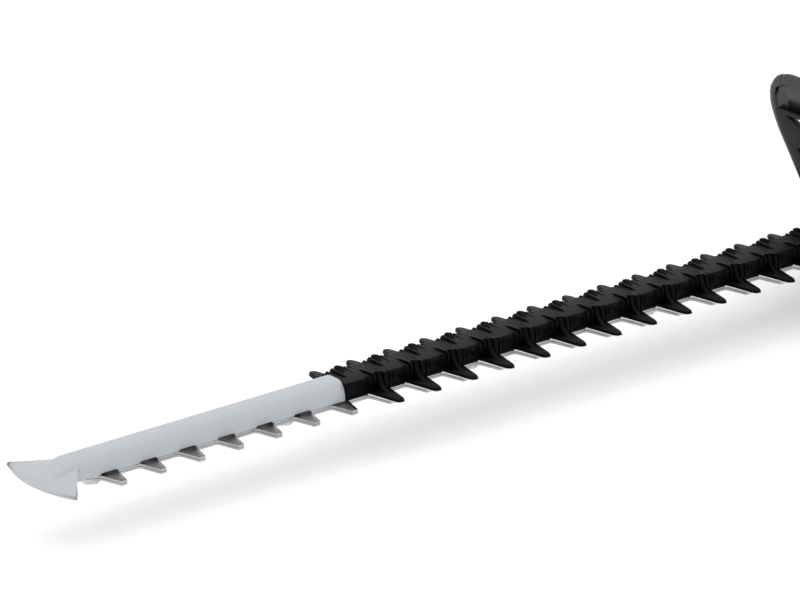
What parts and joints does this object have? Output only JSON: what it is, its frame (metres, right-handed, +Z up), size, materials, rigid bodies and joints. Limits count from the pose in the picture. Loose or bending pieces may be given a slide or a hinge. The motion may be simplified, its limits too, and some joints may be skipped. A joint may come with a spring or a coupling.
{
  "type": "hedge trimmer",
  "caption": "Cordless hedge trimmer: long double-sided blade under a comb guard, grey tip guard, wide hand guard, loop handle, rear trigger handle and slide-in battery.",
  "frame": {"origin": "middle of the footprint, on the surface that the trimmer rests on", "axes": "+X along the cutter bar to its tip, +Y to the user's left, +Z up"},
  "size_m": [1.049, 0.181, 0.1382],
  "materials": {
    "grey_plastic": "light cool grey moulded plastic with a fine satin grain",
    "black_plastic": "black moulded plastic, satin",
    "soft_rubber": "black soft-touch grip",
    "blade_steel": "ground blade steel with bright sharpened bevels",
    "zinc_steel": "zinc plated fasteners",
    "gear_steel": "oiled machined steel",
    "cast_alloy": "die-cast alloy, matt",
    "copper_winding": "enamelled winding on laminations",
    "circuit_board": "lacquered circuit board"
  },
  "bodies": {
    "housing": {"tip_guard": "grey_plastic", "left_housing": "grey_plastic", "right_housing": "grey_plastic", "comb_guard": "black_plastic", "hand_guard": "black_plastic", "front_handle": "black_plastic", "skid_plate": "black_plastic", "terminal_block": "black_plastic", "rear_foot_left": "soft_rubber", "rear_foot_right": "soft_rubber", "front_grip": "soft_rubber", "rear_grip_left": "soft_rubber", "rear_grip_right": "soft_rubber", "root_bolt": "zinc_steel", "bar_bolt_1": "zinc_steel", "bar_bolt_2": "zinc_steel", "bar_bolt_3": "zinc_steel", "bar_bolt_4": "zinc_steel", "bar_bolt_5": "zinc_steel", "housing_screw_1": "zinc_steel", "housing_screw_2": "zinc_steel", "housing_screw_3": "zinc_steel", "housing_screw_4": "zinc_steel", "housing_screw_5": "zinc_steel", "guard_screw_left": "zinc_steel", "guard_screw_right": "zinc_steel", "handle_bolt_left": "zinc_steel", "handle_bolt_right": "zinc_steel", "trigger_pin": "zinc_steel", "motor_can": "gear_steel", "lower_crank_bearing": "gear_steel", "upper_crank_bearing": "gear_steel", "lower_motor_bearing": "gear_steel", "upper_motor_bearing": "gear_steel", "guide_bar": "cast_alloy", "gear_case_base": "cast_alloy", "gear_case_cover": "cast_alloy", "motor_cap": "cast_alloy", "stator": "copper_winding", "control_board": "circuit_board"},
    "crank": {"drive_gear": "gear_steel", "eccentric_shaft": "gear_steel"},
    "upper_rod": {"upper_connecting_rod": "gear_steel"},
    "lower_rod": {"lower_connecting_rod": "gear_steel"},
    "rotor": {"rotor": "gear_steel", "pinion": "gear_steel", "cooling_fan": "black_plastic"},
    "upper_blade": {"upper_blade": "blade_steel", "upper_blade_pin": "zinc_steel"},
    "lower_blade": {"lower_blade": "blade_steel", "lower_blade_pin": "zinc_steel"},
    "switch_bail": {"switch_bail": "grey_plastic"},
    "trigger": {"trigger": "black_plastic"},
    "lock_button": {"lock_button": "black_plastic"},
    "battery": {"battery_case": "black_plastic", "cell_pack": "cast_alloy", "battery_contacts": "black_plastic"},
    "release_button": {"release_button": "grey_plastic"}
  },
  "joints": [
    {"name": "drive_spin", "type": "hinge", "parent": "housing", "child": "crank", "pos_m": [-0.2665, 0, 0.04], "axis": [0, 0, 1], "continuous": true},
    {"name": "upper_rod_turn", "type": "hinge", "parent": "crank", "child": "upper_rod", "pos_m": [-0.2665, 0.0075, 0.04], "axis": [0, 0, 1], "continuous": true},
    {"name": "lower_rod_turn", "type": "hinge", "parent": "crank", "child": "lower_rod", "pos_m": [-0.2665, -0.0075, 0.04], "axis": [0, 0, 1], "continuous": true},
    {"name": "motor_spin", "type": "hinge", "parent": "housing", "child": "rotor", "pos_m": [-0.3042, 0, 0.04], "axis": [0, 0, 1], "continuous": true},
    {"name": "upper_blade_slide", "type": "slide", "parent": "housing", "child": "upper_blade", "axis": [1, 0, 0], "range_m": [-0.0075, 0.0075]},
    {"name": "lower_blade_slide", "type": "slide", "parent": "housing", "child": "lower_blade", "axis": [1, 0, 0], "range_m": [-0.0075, 0.0075]},
    {"name": "bail_squeeze", "type": "hinge", "parent": "housing", "child": "switch_bail", "pos_m": [-0.2365, 0, 0.058], "axis": [0, 1, 0], "range_deg": [0, 4.5], "stiffness_Nm_per_rad": 4, "springref_deg": -4.58},
    {"name": "trigger_pull", "type": "hinge", "parent": "housing", "child": "trigger", "pos_m": [-0.3785, 0, 0.109], "axis": [0, 1, 0], "range_deg": [0, 10], "stiffness_Nm_per_rad": 1, "springref_deg": -5.73},
    {"name": "lock_slide", "type": "slide", "parent": "housing", "child": "lock_button", "axis": [1, 0, 0], "range_m": [0, 0.006], "stiffness_N_per_m": 300, "springref_m": -0.003},
    {"name": "battery_slide", "type": "slide", "parent": "housing", "child": "battery", "axis": [-1, 0, 0], "range_m": [0, 0.15]},
    {"name": "release_press", "type": "slide", "parent": "battery", "child": "release_button", "axis": [1, 0, 0], "range_m": [0, 0.003], "stiffness_N_per_m": 400, "springref_m": -0.002}
  ],
  "couplings": [
    {"joint": "upper_rod_turn", "follows": "drive_spin", "ratio": -1},
    {"joint": "lower_rod_turn", "follows": "drive_spin", "ratio": -1},
    {"joint": "motor_spin", "follows": "drive_spin", "ratio": -4},
    {"joint": "lower_blade_slide", "follows": "upper_blade_slide", "ratio": -1}
  ]
}
